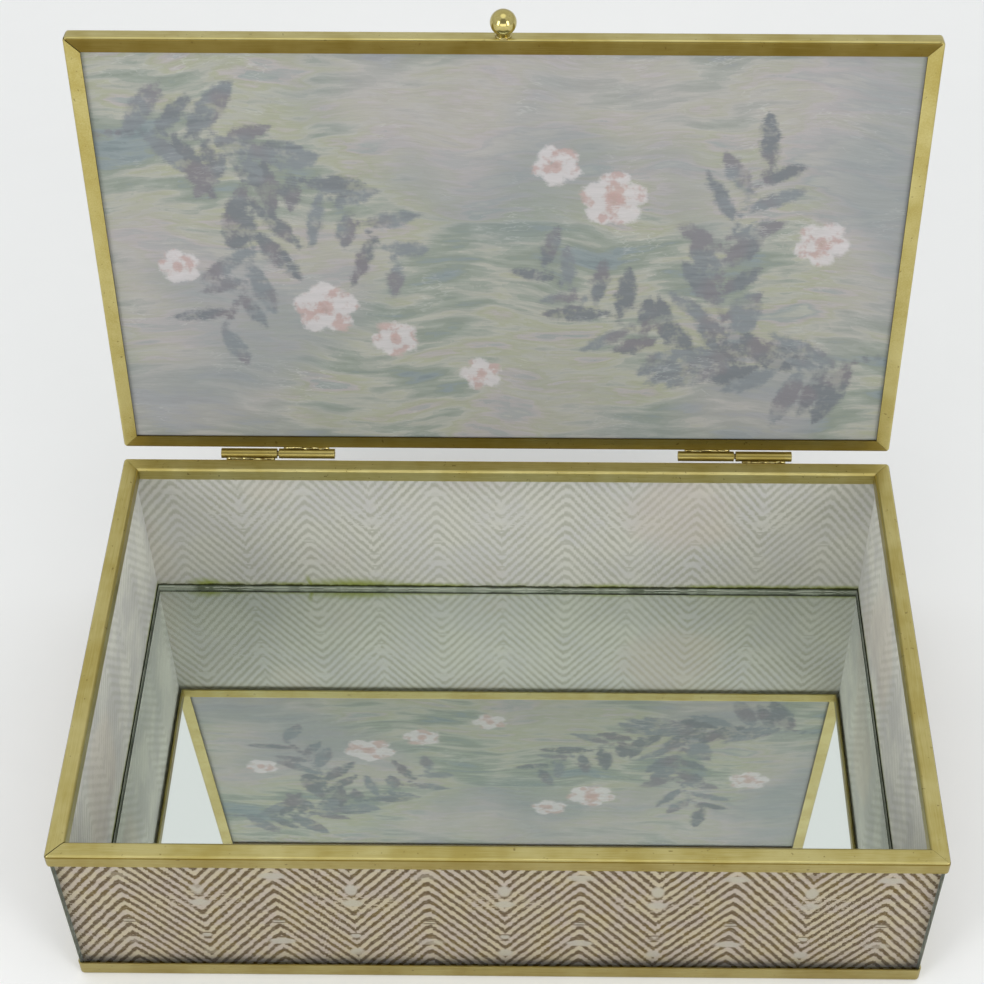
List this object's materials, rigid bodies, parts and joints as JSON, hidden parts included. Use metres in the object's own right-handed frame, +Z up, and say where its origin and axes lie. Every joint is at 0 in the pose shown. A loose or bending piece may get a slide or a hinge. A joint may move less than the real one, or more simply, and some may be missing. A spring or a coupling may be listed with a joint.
{
  "type": "glass keepsake box",
  "caption": "Rectangular hinged glass box with a mirror floor, chevron-lined glass walls, brass channel frames and a brass-framed printed glass lid that stands open.",
  "frame": {"origin": "middle of the underside of the base, on the surface that the box stands on", "axes": "+X to the right, seen from the front; +Y to the hinges at the back; +Z up"},
  "size_m": [0.26, 0.187, 0.2315],
  "materials": {
    "brass": "satin, light gold",
    "polished_brass": "polished, light gold",
    "pin_wire": "drawn wire",
    "wall_glass": "clear, polished, faint green at the edges",
    "lid_glass": "clear, polished, faint green at the edges",
    "chevron_paper": "printed paper, matte, brown-gold chevron lines on cream taupe",
    "lid_paper": "printed paper, matte, soft painted sage and grey-blue strokes",
    "mirror": "silvered float glass",
    "board": "grey-brown card board, matte",
    "felt": "short-nap felt, charcoal"
  },
  "bodies": {
    "box": {"rim_front": "brass", "rim_rear": "brass", "rim_left": "brass", "rim_right": "brass", "base_strip_front": "brass", "base_strip_rear": "brass", "base_strip_left": "brass", "base_strip_right": "brass", "wall_glass_front": "wall_glass", "wall_glass_rear": "wall_glass", "wall_glass_left": "wall_glass", "wall_glass_right": "wall_glass", "wall_print_front": "chevron_paper", "wall_print_rear": "chevron_paper", "wall_print_left": "chevron_paper", "wall_print_right": "chevron_paper", "mirror_floor": "mirror", "backing_board": "board", "base_felt": "felt", "hinge_left_body_knuckle": "brass", "hinge_right_body_knuckle": "brass", "hinge_left_pin": "pin_wire", "hinge_right_pin": "pin_wire"},
    "lid": {"lid_rail_front": "brass", "lid_rail_rear": "brass", "lid_rail_left": "brass", "lid_rail_right": "brass", "lid_glass": "lid_glass", "lid_print": "lid_paper", "hinge_left_lid_knuckle": "brass", "hinge_right_lid_knuckle": "brass", "lid_knob": "polished_brass"}
  },
  "joints": [
    {"name": "lid_hinge", "type": "hinge", "parent": "box", "child": "lid", "pos_m": [0, 0.0798, 0.0678], "axis": [1, 0, 0], "range_deg": [0, 98.2]}
  ]
}
